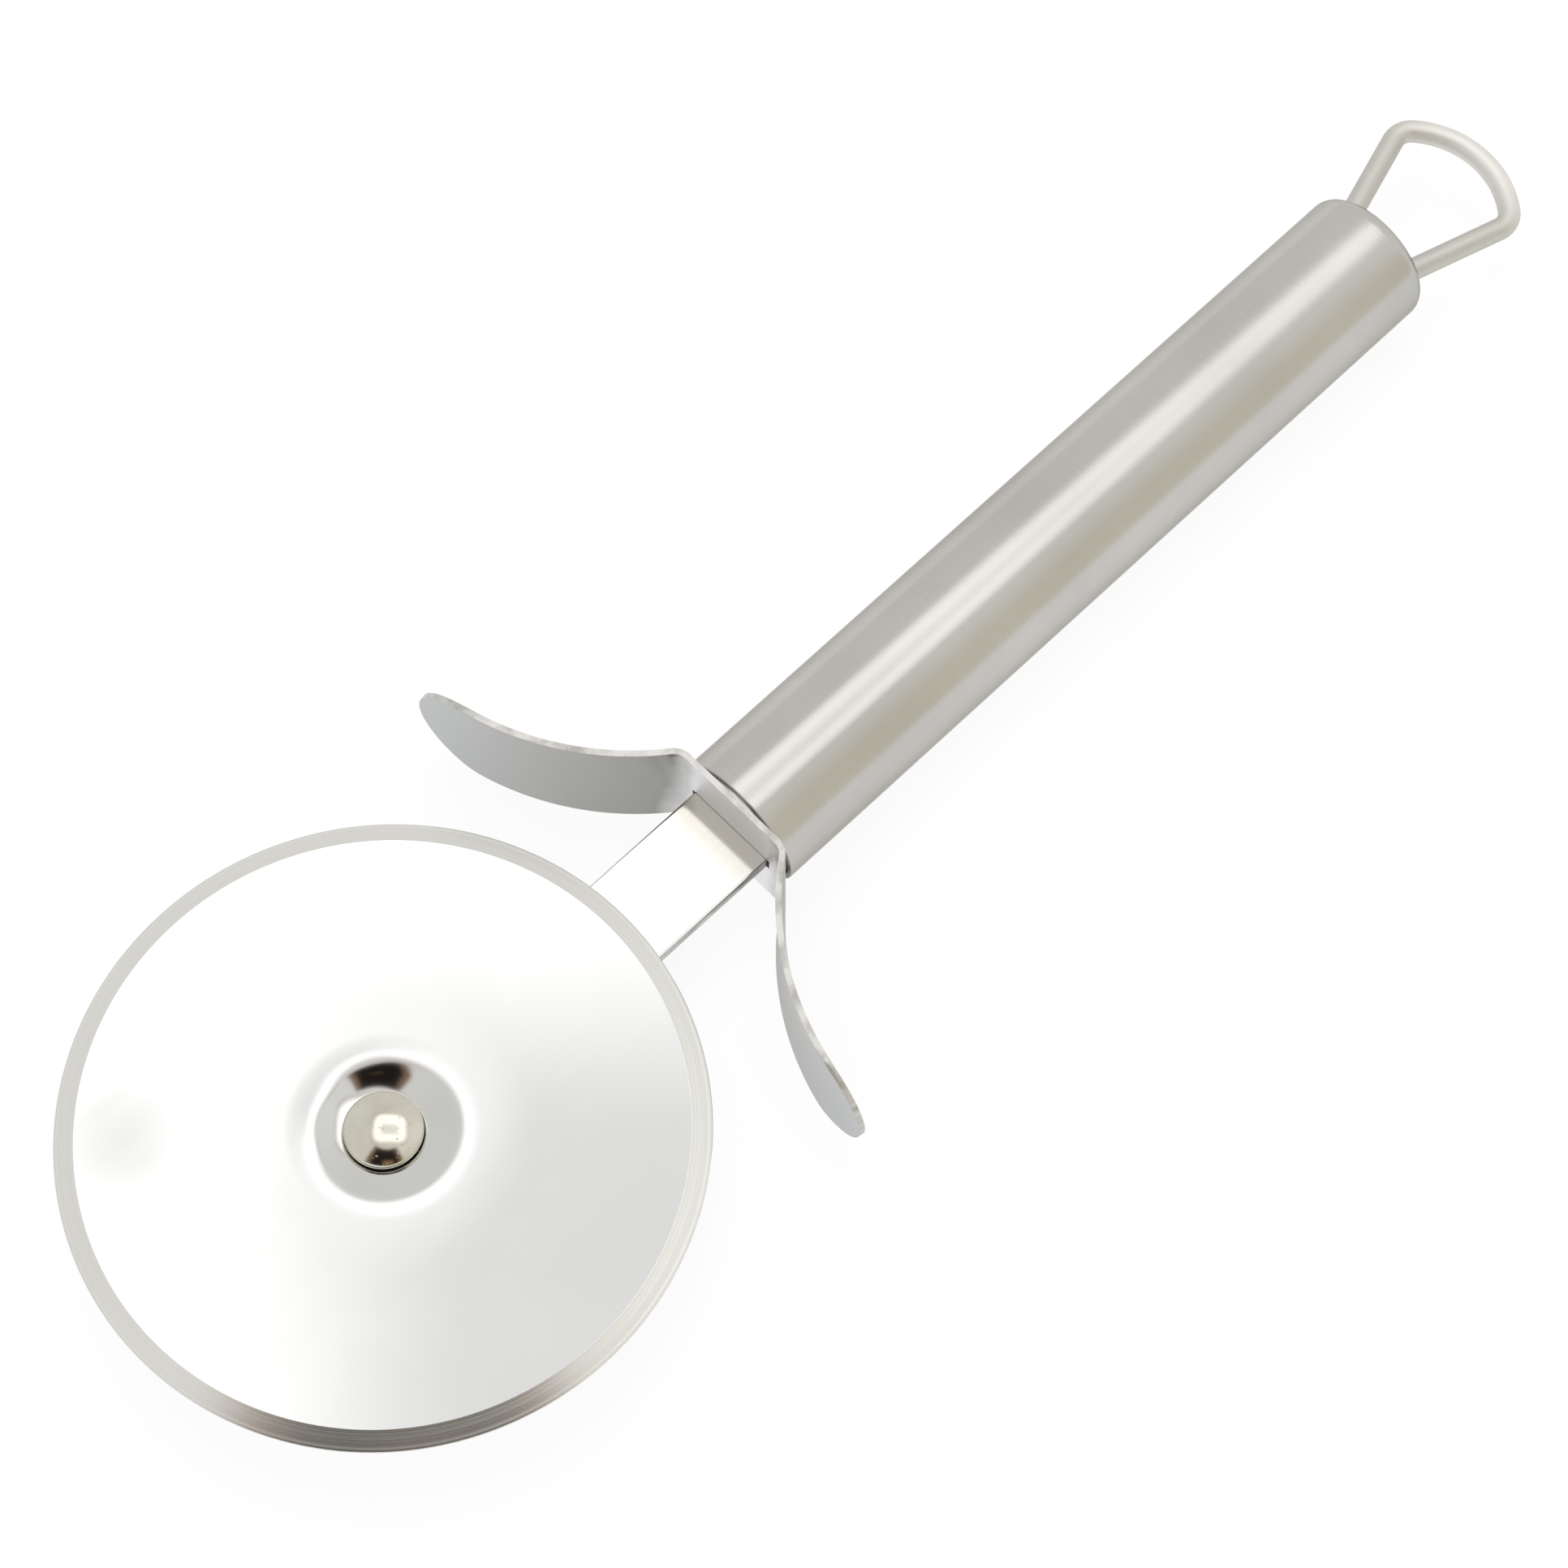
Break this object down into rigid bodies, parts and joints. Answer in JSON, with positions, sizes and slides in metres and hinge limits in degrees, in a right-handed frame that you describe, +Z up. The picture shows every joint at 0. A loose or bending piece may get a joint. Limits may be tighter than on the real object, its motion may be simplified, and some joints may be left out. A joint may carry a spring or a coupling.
{
  "type": "pizza cutter",
  "caption": "Steel pizza cutter with a dished cutting wheel on a domed rivet, a flat arm, a curved finger guard, a tubular handle and a wire hanging loop.",
  "frame": {"origin": "under the middle of the tool's length and width, on the surface that it lies on", "axes": "+X from the cutting wheel towards the hanging loop, +Y across the tool, +Z up, out of the wheel's dished face"},
  "size_m": [0.2398, 0.08, 0.019],
  "materials": {
    "polished_steel": "mirror-polished stainless steel",
    "satin_steel": "satin stainless steel with a fine grain",
    "matt_steel": "matt tumbled stainless steel",
    "axle_steel": "bright turned and headed stainless steel",
    "plug_aluminium": "plain die-cast aluminium"
  },
  "bodies": {
    "handle": {"axle_rivet": "axle_steel", "axle_bush": "axle_steel", "front_washer": "axle_steel", "rear_washer": "axle_steel", "tail_washer": "axle_steel", "arm": "polished_steel", "finger_guard": "matt_steel", "handle_tube": "satin_steel", "mouth_disc": "satin_steel", "tang_plug": "plug_aluminium", "tang_pins": "axle_steel", "end_cap": "satin_steel", "hanging_loop": "polished_steel"},
    "wheel": {"cutting_wheel": "polished_steel"}
  },
  "joints": [
    {"name": "wheel_spin", "type": "hinge", "parent": "handle", "child": "wheel", "pos_m": [-0.07995, 0, 0.0122], "axis": [0, 0, 1], "continuous": true}
  ]
}
